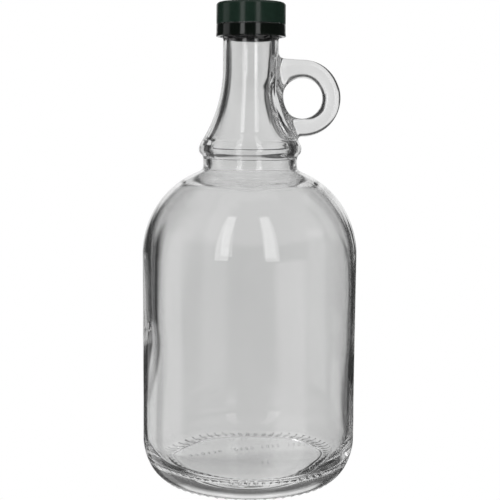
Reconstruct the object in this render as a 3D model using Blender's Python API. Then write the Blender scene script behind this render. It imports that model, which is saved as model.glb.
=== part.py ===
"""A small clear-glass carboy: a handled jug with a tamper-evident screw closure.

Metres, +Z up. The origin is the centre of the base, on the surface the jug stands on.
The thumb ring points along +X.

Sub-parts, one object each:
  glass_bottle  one moulding: push-up base, body, shoulder, collar and bead, neck with its
                screw finish and retaining bead, and the thumb ring on the neck
  screw_cap     plastic shell with an internal thread
  tamper_band   plastic ring left below the cap, held under the retaining bead
  cap_liner     sealing disc held in the cap by its thread
"""
from math import acos, cos, pi, radians, sin, sqrt, tau

import bmesh
import bpy
from mathutils import Matrix

MM = 0.001

# Base and body of the glass
BODY_RADIUS = 52.4 * MM
CONTACT_RADIUS = 52.6 * MM      # the band that touches its neighbours, below the label panel
CONTACT_TOP = 31.0 * MM
PANEL_STEP = 2.0 * MM           # height over which the contact band fades into the panel
BEARING_INNER = 40.5 * MM       # flat ring that the jug stands on
BEARING_OUTER = 43.0 * MM
HEEL_HEIGHT = 19.0 * MM
PUSH_UP_RADIUS = 37.5 * MM
PUSH_UP_EDGE = 0.8 * MM
PUSH_UP_CENTRE = 2.0 * MM

# Shoulder, collar and bead
SHOULDER_START = 110.3 * MM
SHOULDER_ARC = 43.2 * MM
COLLAR_RADIUS = 22.9 * MM
COLLAR_FILLET = 1.0 * MM
COLLAR_TOP = 157.9 * MM
BEAD_RADIUS = 24.9 * MM
BEAD_CENTRE = 161.3 * MM
BEAD_HALF_HEIGHT = 3.4 * MM

# Neck and screw finish
NECK_RADIUS = 13.5 * MM
FLARE_TOP = 200.5 * MM
FLARE_ARC = 66.0 * MM
FINISH_RADIUS = 14.0 * MM
FINISH_BOTTOM = 215.0 * MM
RIM_HEIGHT = 228.0 * MM
RIM_ROUNDING = 0.9 * MM
RETAINER_RADIUS = 15.2 * MM
RETAINER_BOTTOM = 218.4 * MM
RETAINER_TOP = 220.6 * MM

# Walls and inside of the glass
BODY_WALL = 3.2 * MM
SHOULDER_WALL = 3.4 * MM
NECK_WALL = 3.0 * MM
FLOOR_WALL = 8.0 * MM
FLOOR_RADIUS = 42.0 * MM
INNER_HEEL_TOP = 16.5 * MM
MOUTH_CHAMFER = 0.7 * MM

# Thumb ring
RING_X = 25.7 * MM
RING_Z = 186.1 * MM
RING_RADIUS = 14.0 * MM         # centre line
LIMB_HALF_WIDTH = 4.25 * MM     # in the ring's plane
LIMB_HALF_DEPTH = 5.0 * MM      # across the ring's plane
BAR_START = 11.0 * MM           # the straight top limb starts inside the neck wall
BAR_ROOT = 4.7 * MM
BAR_TIP = 4.1 * MM

# Thread, shared by the finish and the cap
PITCH = 3.2 * MM
THREAD_START = 222.6 * MM
THREAD_TURNS = 1.3
THREAD_DEPTH = 1.0 * MM
THREAD_BASE_HALF = 0.85 * MM
THREAD_CREST_HALF = 0.4 * MM
THREAD_ROOTED = 0.5 * MM        # how far the thread's foot reaches into its wall
THREAD_SEAT = 0.2 * MM          # the closed cap pulls its thread up against the glass thread
CAP_THREAD_START = 222.7 * MM
THREAD_FADE = 0.08              # turns over which a thread end runs out

# Closure
CAP_RADIUS = 16.9 * MM
CAP_BORE = 15.4 * MM
CAP_BOTTOM = 220.9 * MM
CAP_TOP = 231.0 * MM
CAP_EDGE = 1.5 * MM
CAP_CEILING = 229.4 * MM
CAP_MOUTH_CHAMFER = 0.3 * MM
BAND_TOP = 220.3 * MM
BAND_BOTTOM = 215.0 * MM
BAND_RADIUS = 16.9 * MM
BAND_SKIRT_RADIUS = 17.1 * MM
BAND_BORE = 15.6 * MM
BAND_LIP_RADIUS = 14.4 * MM
BAND_LIP_TOP = 217.2 * MM
BAND_LIP_BOTTOM = 215.8 * MM
NIB_COUNT = 8
NIB_RADIUS = 16.3 * MM
NIB_SIZE = (0.7 * MM, 1.2 * MM, 0.6 * MM)
NIB_TOP = 220.6 * MM
LINER_RADIUS = 15.05 * MM
LINER_BOTTOM = 228.3 * MM
LINER_TOP = 229.1 * MM
LINER_CHAMFER = 0.15 * MM

# Mesh resolution
TURN_SEGMENTS = 48
THREAD_SEGMENTS = 36
RING_SEGMENTS = 32
LIMB_SEGMENTS = 12
WELD = 0.001 * MM
SMOOTH_ANGLE = radians(40)
OVERRUN = 4.0 * MM              # a cutter passes the face it opens by this much

GREEN = (0.008, 0.022, 0.013)
DARK_GREEN = (0.006, 0.014, 0.009)
CLEAR = (0.90, 0.93, 0.92)
LINER_WHITE = (0.82, 0.82, 0.79)


def clear_scene():
    for item in list(bpy.data.objects):
        bpy.data.objects.remove(item, do_unlink=True)


# ---------------------------------------------------------------- materials

def make_material(name, colour, roughness, transmission=0.0):
    material = bpy.data.materials.new(name)
    material.use_nodes = True
    shader = material.node_tree.nodes["Principled BSDF"]
    shader.inputs["Base Color"].default_value = (*colour, 1.0)
    shader.inputs["Roughness"].default_value = roughness
    shader.inputs["Metallic"].default_value = 0.0
    shader.inputs["IOR"].default_value = 1.5
    shader.inputs["Transmission Weight"].default_value = transmission
    return material


def glass_material():
    return make_material("clear_glass", CLEAR, 0.03, transmission=1.0)


def cap_material():
    return make_material("cap_plastic", GREEN, 0.28)


def band_material():
    return make_material("band_plastic", DARK_GREEN, 0.32)


def liner_material():
    return make_material("liner_foam", LINER_WHITE, 0.7)


# ---------------------------------------------------------------- mesh helpers

def add_object(name, mesh_builder, material=None):
    mesh = bpy.data.meshes.new(name)
    bmesh.ops.recalc_face_normals(mesh_builder, faces=mesh_builder.faces)
    mesh_builder.to_mesh(mesh)
    mesh_builder.free()
    mesh.shade_smooth()
    mesh.set_sharp_from_angle(angle=SMOOTH_ANGLE)
    item = bpy.data.objects.new(name, mesh)
    bpy.context.scene.collection.objects.link(item)
    if material:
        mesh.materials.append(material)
    return item


def add_helper(name, mesh_builder):
    """A shape that is only joined to or cut from another one."""
    item = add_object(name, mesh_builder)
    item.hide_render = True
    item.display_type = "WIRE"
    return item


def combine(target, operand, operation):
    modifier = target.modifiers.new(f"{operation.lower()}_{operand.name}", "BOOLEAN")
    modifier.operation = operation
    modifier.solver = "EXACT"
    modifier.object = operand


def ellipse_arc(centre, half_width, half_height, start, end, steps):
    """Points (radius, height) on an ellipse, from one angle to another in degrees."""
    points = []
    for step in range(steps + 1):
        angle = radians(start + (end - start) * step / steps)
        points.append((centre[0] + half_width * cos(angle), centre[1] + half_height * sin(angle)))
    return points


def turned(outline):
    """Turn a half section about the vertical axis into one closed surface.

    An outline that doesn't start and end on the axis is a ring's section, so it is closed.
    """
    builder = bmesh.new()
    verts = [builder.verts.new((radius, 0.0, height)) for radius, height in outline]
    edges = [builder.edges.new(pair) for pair in zip(verts, verts[1:])]
    if outline[0][0] > 0.0:
        edges.append(builder.edges.new((verts[-1], verts[0])))
    bmesh.ops.spin(builder, geom=verts + edges, cent=(0, 0, 0), axis=(0, 0, 1),
                   angle=tau, steps=TURN_SEGMENTS, use_merge=True)
    bmesh.ops.remove_doubles(builder, verts=builder.verts, dist=WELD)
    bmesh.ops.dissolve_degenerate(builder, edges=builder.edges, dist=WELD)
    return builder


def helical_thread(wall_radius, outward, start_height, phase_height):
    """A trapezoid swept along the right-hand helix that passes phase_height at angle 0.

    outward is +1 on the outside of a neck and -1 on the inside of a cap.
    """
    builder = bmesh.new()
    first_turn = (start_height - phase_height) / PITCH
    steps = round(THREAD_TURNS * THREAD_SEGMENTS)
    previous = None
    for step in range(steps + 1):
        turn = THREAD_TURNS * step / steps
        fade = min(1.0, turn / THREAD_FADE, (THREAD_TURNS - turn) / THREAD_FADE)
        angle = (first_turn + turn) * tau
        height = start_height + PITCH * turn
        foot = wall_radius - outward * THREAD_ROOTED
        crest = foot + outward * (0.4 * THREAD_ROOTED + fade * (0.6 * THREAD_ROOTED + THREAD_DEPTH))
        section = [(foot, -THREAD_BASE_HALF), (crest, -THREAD_CREST_HALF),
                   (crest, THREAD_CREST_HALF), (foot, THREAD_BASE_HALF)]
        ring = [builder.verts.new((radius * cos(angle), radius * sin(angle), height + offset))
                for radius, offset in section]
        if previous:
            for corner in range(4):
                following = (corner + 1) % 4
                builder.faces.new((previous[corner], previous[following],
                                   ring[following], ring[corner]))
        else:
            builder.faces.new(ring)
        previous = ring
    builder.faces.new(previous)
    return builder


# ---------------------------------------------------------------- glass

def flare_radius(height):
    """The neck's concave outer side between the bead and the straight neck."""
    drop = max(0.0, FLARE_TOP - height)
    return NECK_RADIUS + FLARE_ARC - sqrt(FLARE_ARC ** 2 - drop ** 2)


def flare_points(bottom, wall, steps):
    points = []
    for step in range(steps + 1):
        height = bottom + (FLARE_TOP - bottom) * step / steps
        points.append((flare_radius(height) - wall, height))
    return points


def shoulder_points(arc, end_radius, steps):
    """The shoulder's arc, from the body's side up to end_radius."""
    centre_radius = BODY_RADIUS - SHOULDER_ARC
    end_angle = acos((end_radius - centre_radius) / arc) * 180 / pi
    return ellipse_arc((centre_radius, SHOULDER_START), arc, arc, 0, end_angle, steps)


def dome_height(radius, edge_radius, edge_height, centre_height):
    return centre_height - (centre_height - edge_height) * (radius / edge_radius) ** 2


def dome_points(edge_radius, edge_height, centre_height, steps):
    points = []
    for step in range(steps + 1):
        radius = edge_radius * step / steps
        points.append((radius, dome_height(radius, edge_radius, edge_height, centre_height)))
    return points


def outer_outline():
    """Outside of the jug, as a solid, from the base's centre up to the rim's centre."""
    outline = dome_points(PUSH_UP_RADIUS, PUSH_UP_EDGE, PUSH_UP_CENTRE, 3)
    outline.append((BEARING_INNER, 0.0))
    outline += ellipse_arc((BEARING_OUTER, HEEL_HEIGHT), CONTACT_RADIUS - BEARING_OUTER,
                           HEEL_HEIGHT, -90, 0, 6)
    outline += [(CONTACT_RADIUS, CONTACT_TOP), (BODY_RADIUS, CONTACT_TOP + PANEL_STEP)]
    shoulder = shoulder_points(SHOULDER_ARC, COLLAR_RADIUS + COLLAR_FILLET, 9)
    outline += shoulder
    outline.append((COLLAR_RADIUS, shoulder[-1][1] + 2 * COLLAR_FILLET))
    outline.append((COLLAR_RADIUS, COLLAR_TOP - BEAD_HALF_HEIGHT / 2))
    outline += ellipse_arc((COLLAR_RADIUS, BEAD_CENTRE), BEAD_RADIUS - COLLAR_RADIUS,
                           BEAD_HALF_HEIGHT, -80, 60, 5)
    outline += flare_points(BEAD_CENTRE + BEAD_HALF_HEIGHT, 0.0, 7)
    outline += [(NECK_RADIUS, FINISH_BOTTOM - MM), (FINISH_RADIUS, FINISH_BOTTOM)]
    outline += [(FINISH_RADIUS, RETAINER_BOTTOM), (RETAINER_RADIUS, RETAINER_BOTTOM + 0.8 * MM)]
    outline += [(RETAINER_RADIUS, RETAINER_TOP - 0.6 * MM), (FINISH_RADIUS, RETAINER_TOP)]
    outline += ellipse_arc((FINISH_RADIUS - RIM_ROUNDING, RIM_HEIGHT - RIM_ROUNDING),
                           RIM_ROUNDING, RIM_ROUNDING, 0, 90, 2)
    outline.append((0.0, RIM_HEIGHT))
    return outline


def cavity_outline():
    """Inside of the jug, from the floor's centre to above the open mouth."""
    bore = NECK_RADIUS - NECK_WALL
    floor_edge = dome_height(FLOOR_RADIUS, PUSH_UP_RADIUS, PUSH_UP_EDGE, PUSH_UP_CENTRE) + FLOOR_WALL
    outline = dome_points(FLOOR_RADIUS, floor_edge, PUSH_UP_CENTRE + FLOOR_WALL, 3)
    outline += ellipse_arc((FLOOR_RADIUS, INNER_HEEL_TOP), BODY_RADIUS - BODY_WALL - FLOOR_RADIUS,
                           INNER_HEEL_TOP - floor_edge, -90, 0, 5)[1:]
    arc = SHOULDER_ARC - SHOULDER_WALL
    outline += shoulder_points(arc, COLLAR_RADIUS - SHOULDER_WALL, 8)
    outline += flare_points(BEAD_CENTRE + BEAD_HALF_HEIGHT, NECK_WALL, 6)
    outline.append((bore, RIM_HEIGHT - MOUTH_CHAMFER))
    outline.append((bore + MOUTH_CHAMFER + OVERRUN, RIM_HEIGHT + OVERRUN))
    outline.append((0.0, RIM_HEIGHT + OVERRUN))
    return outline


def thumb_ring():
    """A full oval-section ring. Its inner side runs inside the neck's wall."""
    builder = bmesh.new()
    verts = []
    for step in range(LIMB_SEGMENTS):
        angle = tau * step / LIMB_SEGMENTS
        x = RING_X + RING_RADIUS + LIMB_HALF_WIDTH * cos(angle)
        verts.append(builder.verts.new((x, LIMB_HALF_DEPTH * sin(angle), RING_Z)))
    edges = [builder.edges.new(pair) for pair in zip(verts, verts[1:] + verts[:1])]
    bmesh.ops.spin(builder, geom=verts + edges, cent=(RING_X, 0, RING_Z), axis=(0, 1, 0),
                   angle=tau, steps=RING_SEGMENTS, use_merge=True)
    bmesh.ops.remove_doubles(builder, verts=builder.verts, dist=WELD)
    return builder


def top_limb():
    """The straight limb from the neck to the crown of the ring, thicker at its root."""
    builder = bmesh.new()
    length = RING_X - BAR_START
    bmesh.ops.create_cone(builder, cap_ends=True, segments=LIMB_SEGMENTS, radius1=BAR_ROOT,
                          radius2=BAR_TIP, depth=length)
    flatten = Matrix.Scale(LIMB_HALF_DEPTH / LIMB_HALF_WIDTH, 4, (0, 1, 0))
    lay_along_x = Matrix.Rotation(pi / 2, 4, "Y")
    place = Matrix.Translation((BAR_START + length / 2, 0, RING_Z + RING_RADIUS))
    bmesh.ops.transform(builder, matrix=place @ flatten @ lay_along_x, verts=builder.verts)
    return builder


def build_bottle():
    bottle = add_object("glass_bottle", turned(outer_outline()), glass_material())
    thread = helical_thread(FINISH_RADIUS, 1, THREAD_START, THREAD_START)
    combine(bottle, add_helper("ring_shape", thumb_ring()), "UNION")
    combine(bottle, add_helper("top_limb_shape", top_limb()), "UNION")
    combine(bottle, add_helper("glass_thread_shape", thread), "UNION")
    combine(bottle, add_helper("cavity_shape", turned(cavity_outline())), "DIFFERENCE")
    return bottle


# ---------------------------------------------------------------- closure

def build_cap():
    outline = [(0.0, CAP_CEILING), (CAP_BORE, CAP_CEILING)]
    outline += [(CAP_BORE, CAP_BOTTOM + CAP_MOUTH_CHAMFER)]
    outline += [(CAP_BORE + CAP_MOUTH_CHAMFER, CAP_BOTTOM), (CAP_RADIUS, CAP_BOTTOM)]
    outline += ellipse_arc((CAP_RADIUS - CAP_EDGE, CAP_TOP - CAP_EDGE), CAP_EDGE, CAP_EDGE, 0, 90, 4)
    outline.append((0.0, CAP_TOP))
    cap = add_object("screw_cap", turned(outline), cap_material())
    phase = THREAD_START + PITCH / 2 + THREAD_SEAT
    thread = helical_thread(CAP_BORE, -1, CAP_THREAD_START, phase)
    combine(cap, add_helper("cap_thread_shape", thread), "UNION")
    return cap


def bridge_nibs():
    """The stubs of the sheared bridges, spaced evenly round the band's top edge."""
    builder = bmesh.new()
    length, width, height = NIB_SIZE
    for step in range(NIB_COUNT):
        spin = Matrix.Rotation(tau * (step + 0.5) / NIB_COUNT, 4, "Z")
        place = spin @ Matrix.Translation((NIB_RADIUS, 0, NIB_TOP - height / 2))
        size = Matrix.Diagonal((length, width, height, 1))
        bmesh.ops.create_cube(builder, size=1.0, matrix=place @ size)
    return builder


def build_band():
    outline = [(BAND_BORE, BAND_TOP), (BAND_BORE, BAND_LIP_TOP + BAND_BORE - BAND_LIP_RADIUS)]
    outline += [(BAND_LIP_RADIUS, BAND_LIP_TOP), (BAND_LIP_RADIUS, BAND_LIP_BOTTOM)]
    outline += [(BAND_LIP_RADIUS + BAND_LIP_BOTTOM - BAND_BOTTOM, BAND_BOTTOM)]
    outline += [(BAND_SKIRT_RADIUS, BAND_BOTTOM), (BAND_RADIUS, BAND_BOTTOM + 2 * MM)]
    outline += [(BAND_RADIUS, BAND_TOP)]
    band = add_object("tamper_band", turned(outline), band_material())
    combine(band, add_helper("nib_shapes", bridge_nibs()), "UNION")
    return band


def build_liner():
    inset = LINER_RADIUS - LINER_CHAMFER
    outline = [(0.0, LINER_BOTTOM), (inset, LINER_BOTTOM)]
    outline += [(LINER_RADIUS, LINER_BOTTOM + LINER_CHAMFER)]
    outline += [(LINER_RADIUS, LINER_TOP - LINER_CHAMFER)]
    outline += [(inset, LINER_TOP), (0.0, LINER_TOP)]
    return add_object("cap_liner", turned(outline), liner_material())


def main():
    clear_scene()
    build_bottle()
    build_cap()
    build_band()
    build_liner()


main()
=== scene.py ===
"""The looks of a small clear-glass carboy: a handled jug with a screw closure.

Lengths are millimetres in the part's own frame: the base stands on z = 0, the jug's axis is the
Z axis and the thumb ring points along +X. MM turns them into the scene's metres.
"""
from math import acos, atan2, cos, degrees, inf, pi, radians, sin, sqrt, tau

import bmesh
import bpy
import numpy as np
from mathutils import Matrix, Vector


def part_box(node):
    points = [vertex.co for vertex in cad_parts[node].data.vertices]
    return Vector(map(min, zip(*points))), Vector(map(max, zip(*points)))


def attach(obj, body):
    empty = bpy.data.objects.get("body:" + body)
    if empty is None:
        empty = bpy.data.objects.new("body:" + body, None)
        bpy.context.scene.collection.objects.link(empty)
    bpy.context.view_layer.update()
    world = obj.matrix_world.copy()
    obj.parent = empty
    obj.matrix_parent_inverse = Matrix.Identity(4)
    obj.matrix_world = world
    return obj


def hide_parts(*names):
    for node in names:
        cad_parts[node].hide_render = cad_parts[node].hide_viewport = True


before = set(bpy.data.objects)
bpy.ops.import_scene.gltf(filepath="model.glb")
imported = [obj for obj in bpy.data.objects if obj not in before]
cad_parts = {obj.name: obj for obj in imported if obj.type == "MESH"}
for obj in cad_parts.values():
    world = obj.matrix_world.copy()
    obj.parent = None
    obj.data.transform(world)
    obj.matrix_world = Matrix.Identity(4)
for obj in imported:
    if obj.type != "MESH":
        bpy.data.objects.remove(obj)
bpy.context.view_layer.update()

MM = 0.001


def cad_size(node):
    """A CAD node's radius, bottom and top in millimetres."""
    low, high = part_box(node)
    return [round(value / MM, 3) for value in (high.x, low.z, high.z)]


# What the looks take from the CAD
JUG_RADIUS, STANDING, RIM_HEIGHT = cad_size("glass_bottle")
CAD_CAP_RADIUS, CAD_CAP_BOTTOM, CAP_TOP = cad_size("screw_cap")
CAD_BAND_RADIUS, BAND_BOTTOM, BAND_TOP = cad_size("tamper_band")
LINER_RADIUS, LINER_BOTTOM, LINER_TOP = cad_size("cap_liner")

# Camera: at the height and distance that the ellipses of the cap and base ask for
CAMERA_DISTANCE = 514.4 * MM
CAMERA_HEIGHT = 176.1 * MM
CAMERA_TILT = radians(7.1)
CAMERA_ROLL = radians(-0.4)
CAMERA_ASIDE = -0.2 * MM
LENS = 75.9
SENSOR = 36.0

# Base and body
BODY_RADIUS = JUG_RADIUS - 0.2
CONTACT_RADIUS = JUG_RADIUS - 0.1
CONTACT_TOP = 26.0
PANEL_STEP = 14.0
PUSH_UP_RADIUS = 37.5
PUSH_UP_EDGE = 0.75
PUSH_UP_CENTRE = 1.6
BAFFLE_STEP = 0.09
BAFFLE_WIDTH = 0.4
BAFFLE_INSET = 0.25
BEARING_OUTER = 42.6
BEARING_WIDTH = 2.0
HEEL_HEIGHT = 18.5
HEEL_POWER = 1.75
KNURL_COUNT = 61
KNURL_HEIGHT = 0.45
KNURL_HALF_WIDTH = 0.8
KNURL_ROOTED = 0.5
# Along a ridge: radius, and the share of the full height that it stands out there
KNURL_STATIONS = ((38.6, 0.0), (39.3, 0.6), (40.2, 1.0), (42.2, 1.0), (43.8, 0.85), (44.8, 0.5),
                  (45.6, 0.0))
STRAIGHT_TOP = 106.0            # the body's sides are straight up to here

# Shoulder, collar and bead
SHOULDER_START = 110.3
SHOULDER_ARC = 43.2
SHOULDER_END = 26.3
COLLAR_RADIUS = 22.8
COLLAR_FOOT = 151.6
COLLAR_TOP = 157.4
BEAD_RADIUS = 24.95
BEAD_CENTRE = 161.5
BEAD_HALF_HEIGHT = 3.0
BEAD_ROUND = 2.2
BEAD_TOP = 164.2

# Neck and screw finish
NECK_RADIUS = 13.35
NECK_STRAIGHT = 205.0
FLARE_TOP = 200.5
FLARE_ARC = 66.0
FINISH_RADIUS = 14.0
FINISH_BOTTOM = RIM_HEIGHT - 13.2
RETAINER_RADIUS = 15.2
RETAINER_BOTTOM = RIM_HEIGHT - 9.6
RETAINER_TOP = RIM_HEIGHT - 7.4

# Inside of the glass
BODY_WALL = 3.4
SHOULDER_WALL = 3.4
NECK_WALL = 3.0
FLARE_THICKENING = 1.6
FLOOR_WALL = 8.4
FLOOR_RADIUS = 41.7
INNER_HEEL_TOP = 22.0
SHOULDER_THINNING = 1.5         # the wall grows thinner up the shoulder
WAIST_BLEND = 6.0
WAIST_POINT = 9                 # the shoulder's point where the blend ends
ROOT_THICKENING = 2.2           # more glass gathers where the ring joins
ROOT_ANGLE = 0.75
WALL_DRIFT = 0.2                # the gob settled thicker on the side away from the ring
LOW_DRIFT = 0.45

# Unevenness. A span is the lowest and highest height that it reaches, and its soft edge
SEAM_SPAN = (4.0, 213.0, 2.0)
RIPPLE_SPAN = (8.0, 150.0, 12.0)
DRIFT_SPAN = (10.0, 165.0, 18.0)
LOW_DRIFT_SPAN = (12.0, 82.0, 18.0)
WALL_WAVE_SPAN = (9.0, 150.0, 15.0)
NECK_WAVE_SPAN = (150.0, 215.0, 10.0)
ROOT_SPAN = (161.0, 198.0, 12.0)
WALL_WAVE_START = (8.0, 30.0)   # radii over which the waves grow
FLOOR_WAVE_START = (2.0, 30.0)
FLOOR_TOP = 14.0
# A wave is its size, how many go round the jug, its phase and the height that turns it a radian
RIPPLES = ((0.02, 3, 0.0, 13), (0.014, 7, 0.0, -7))
WALL_WAVES = ((0.30, 2, 0.9, 41), (0.20, 3, -0.4, -23), (0.12, 5, 1.7, 14))
NECK_WAVES = ((0.12, 2, 0.0, 12),)
FLOOR_WAVES = ((0.16, 2, 0.5, inf), (0.10, 3, 2.0, inf))

# Thumb ring
RING_X = 25.0
RING_Z = 186.0
RING_RADIUS = 14.05
LIMB_HALF_WIDTH = 4.3
LIMB_HALF_DEPTH = 5.0
LIMB_POWER = 3.2
BAR_START = 11.0
BAR_ROOT_Z = 200.9
BAR_TIP_Z = 200.0
BAR_ROOT_HALF = 4.4
BAR_TIP_HALF = 4.25
JOIN_BLEND = 3.0
CROTCH_BLEND = 1.5
CROTCH_LEAST = 0.05
CROTCH_REACH = 8.0
RING_SPAN = (158.0, 212.0)      # heights that the ring and its fillets lie between
JOIN_SPAN = (152.0, 214.0)      # heights of the neck's outline that they are measured from
SKIN_DEPTH = 1.3
PRESS_DEPTH = 1.2
BAR_SHRINK = 0.985              # keeps the bar's sides from lying in the ring's
SEAM_HEIGHT = 0.07
SEAM_WIDTH = 0.22

# Threads
PITCH = 3.2
THREAD_START = RIM_HEIGHT - 5.4
THREAD_TURNS = 1.3
THREAD_DEPTH = 1.0
THREAD_BASE_HALF = 0.85
THREAD_ROOTED = 0.5
THREAD_FADE = 0.08
THREAD_END = 0.2                # what is left of the reach at a ridge's ends
# Across a ridge: shares of its reach and of its half width
THREAD_SECTION = ((0.0, -1.0), (0.55, -0.72), (0.88, -0.52), (1.0, -0.2),
                  (1.0, 0.2), (0.88, 0.52), (0.55, 0.72), (0.0, 1.0))
THREAD_SEAT = 0.2
CAP_THREAD_START = RIM_HEIGHT - 5.3

# Moulded marks: plain bars in a curved row under the base, more bars beside it, and the heel's
MARK_COUNT = 22
MARK_GAPS = (6, 7, 12, 17)
MARK_RELIEF = 0.85
MARK_DRAFT = (0.6, 0.8)         # a bar's outer end as shares of its foot
MARK_ROW_HALF = 29.0
MARK_ROW_CENTRE = 16.0
MARK_ROW_RISE = 9.0
MARK_ROW_SAG = 4.0
LONE_MARKS = ((-11, 31.5), (-8.6, 32), (-4.4, 32.5), (-2, 32.6), (7.0, -11), (9.6, -8.6),
              (9.8, -12.4))
LONE_MARK_SIZE = (0.9, 1.6, 2 * MARK_RELIEF)
HEEL_MARK_HEIGHT = 11.8
HEEL_MARK_SPACING = 4.1         # degrees between places for heel marks, place 0 at the front
HEEL_DOTS = (-2, -1, 0, 1, 4, 7, 8, 9, 10)
HEEL_DOT_RADIUS = 1.3
HEEL_DOT_RISE = 0.1
HEEL_BARS = (15, 16)
HEEL_BAR_SIZE = (2.8, 1.0, 1.1)
HEEL_LEAN = radians(20)

# Closure
CAP_RADIUS = CAD_CAP_RADIUS - 0.25
CAP_BORE = 15.4
CAP_BOTTOM = CAD_CAP_BOTTOM - 0.05
CAP_CEILING = LINER_TOP + 0.3
CAP_EDGE = 1.6
TOP_RECESS = 0.22
TOP_RECESS_RADIUS = 13.6
GATE_RADIUS = 1.3

BAND_RADIUS = CAP_RADIUS
BAND_SKIRT_RADIUS = CAD_BAND_RADIUS - 0.25
BAND_BORE = 15.6
BAND_LIP_RADIUS = 14.4
BAND_ROUND = 0.28
BAND_BORE_BOTTOM = BAND_TOP - 2.2
BAND_LIP_TOP = BAND_TOP - 3.4
BAND_LIP_BOTTOM = BAND_BOTTOM + 0.8
NIB_COUNT = 8
NIB_RADIUS = BAND_RADIUS - 0.5
NIB_SIZE = (0.7, 1.2, 0.4)

LINER_GROOVE = ((9.6, 0.0), (10.2, 0.12), (14.2, 0.12), (14.7, 0.0))

# Looks
HANDLE_HAZE = 0.16
HAZE_OUT = (17.0, 21.0)         # the haze starts at this distance along +X
HAZE_UP = (163.0, 170.0)        # and at this height
GLASS_TINTS = ((0.845, 0.847, 0.846), (0.873, 0.874, 0.873))
CAP_GREENS = ((0.008, 0.019, 0.013), (0.011, 0.024, 0.017))
BAND_GREENS = ((0.002, 0.0035, 0.0025), (0.003, 0.005, 0.0035))
LINER_WHITES = ((0.78, 0.78, 0.74), (0.86, 0.86, 0.83))
NOISE_RANGE = (0.3, 0.7)        # where most of a noise's values lie

# Studio tent: how bright its parts are and where. A height is a direction's z, from -1 to 1
STAGE_WHITE = 1.0
WINDOW_LIGHT = 0.9
WINDOW_DIP = 0.92
FLAG_LIGHT = 0.045
TOP_FLAG_LIGHT = 0.12
ABOVE_LIGHT = 0.75
BELOW_LIGHT = 0.8
# Windows: compass direction from +X, half width and soft edge in degrees, then the lowest and
# highest height that the window reaches
WINDOWS = ((91.0, 13.5, 5.0, -0.95, 2.0), (91.0, 19.0, 11.0, -0.06, 2.0),
           (91.0, 27.0, 9.0, 0.12, 2.0), (142.0, 8.0, 7.0, -0.72, -0.24),
           (180.0, 10.0, 8.0, -0.35, 2.0), (315.0, 12.0, 10.0, -2.0, -0.05))
WINDOW_HEIGHT_EDGE = 0.05
BEHIND = 91.0                   # compass direction straight behind the jug, a little dimmer
DIP_REACH = 10.0
TOP_FLAG_SIDES = (75.0, 95.0)   # how far from BEHIND the top flag fades out
TOP_FLAG_START = (0.26, 0.36)
CEILING_START = (0.60, 0.75)
GROUND_START = (-0.96, -0.92)

# Softboxes, with their turn in degrees from the camera's side, and floor
SOFTBOXES = (("softbox_left", -28), ("softbox_right", 23))
SOFTBOX_DISTANCE = 900 * MM
SOFTBOX_WIDTH = 220 * MM
SOFTBOX_BOTTOM = 120 * MM
SOFTBOX_TOP = 1350 * MM
SOFTBOX_LIGHT = 2.9
FLOOR_SIZE = 6000 * MM
FLOOR_DROP = 0.2 * MM
LIGHT_BOUNCES = 64

# Mesh resolution
GLASS_SEGMENTS = 320
CLOSURE_SEGMENTS = 160
THREAD_SEGMENTS = 90
COLLAR_POINTS = 90
WALL_POINTS = 260
LEAST_TURN = radians(1.6)
LONGEST_STEP = 4.0
RING_STEPS = 110
RING_POINTS = 26
BAR_STEPS = 26
BAR_POINTS = 34
JOINT_EDGES = (1.1, 0.75)       # longer edges in the joint are halved, round by round
JOINT_REACH = 3.2
SMOOTHED_REACH = 2.5
SMOOTH_ROUNDS = 3
PULL_ROUNDS = 6
PULL_LIMIT = 0.5
SMOOTH_ANGLE = radians(50)


# -------- outlines

def arc(centre, half_width, half_height, start, end, steps):
    """Points (radius, height) on an ellipse between two angles in degrees."""
    angles = np.radians(np.linspace(start, end, steps + 1))
    return [(centre[0] + half_width * cos(a), centre[1] + half_height * sin(a)) for a in angles]


def rounded(corners, steps):
    """A polyline through (radius, height, fillet) corners, with each fillet as an arc."""
    points = []
    last = len(corners) - 1
    for index, (radius, height, fillet) in enumerate(corners):
        here = np.array((radius, height))
        if fillet <= 0 or index in (0, last):
            points.append((radius, height))
            continue
        back = np.array(corners[index - 1][:2]) - here
        ahead = np.array(corners[index + 1][:2]) - here
        back_length, ahead_length = np.linalg.norm(back), np.linalg.norm(ahead)
        back, ahead = back / back_length, ahead / ahead_length
        half_angle = acos(max(-1.0, min(1.0, float(back @ ahead)))) / 2
        reach = min(fillet / np.tan(half_angle), 0.49 * back_length, 0.49 * ahead_length)
        size = reach * np.tan(half_angle)
        middle = back + ahead
        centre = here + middle / np.linalg.norm(middle) * size / sin(half_angle)
        first, final = here + back * reach - centre, here + ahead * reach - centre
        for step in range(steps + 1):
            share = step / steps
            mixed = first * (1 - share) + final * share
            points.append(tuple(centre + mixed / np.linalg.norm(mixed) * size))
    return points


def flare_radius(height):
    """The outer radius of the neck's flare, an arc up to the straight neck."""
    drop = np.maximum(0.0, FLARE_TOP - np.asarray(height, float))
    return NECK_RADIUS + FLARE_ARC - np.sqrt(FLARE_ARC ** 2 - drop ** 2)


def flare(bottom, wall, steps):
    """The flare's outline, less what the function wall says at each height."""
    heights = np.linspace(bottom, FLARE_TOP, steps + 1)
    return [(float(flare_radius(z) - wall(z)), float(z)) for z in heights]


def neck_wall(height):
    """The wall of the flare: thinner towards the finish."""
    return NECK_WALL + FLARE_THICKENING * (1 - smooth_step(height, BEAD_TOP, FLARE_TOP))


def dome(edge_radius, edge_height, centre_height, steps):
    """A shallow dome's outline from its centre to its edge."""
    radii = np.linspace(0.0, edge_radius, steps + 1)
    drop = (centre_height - edge_height) * (radii / edge_radius) ** 2
    return [(float(r), float(centre_height - d)) for r, d in zip(radii, drop)]


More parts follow.
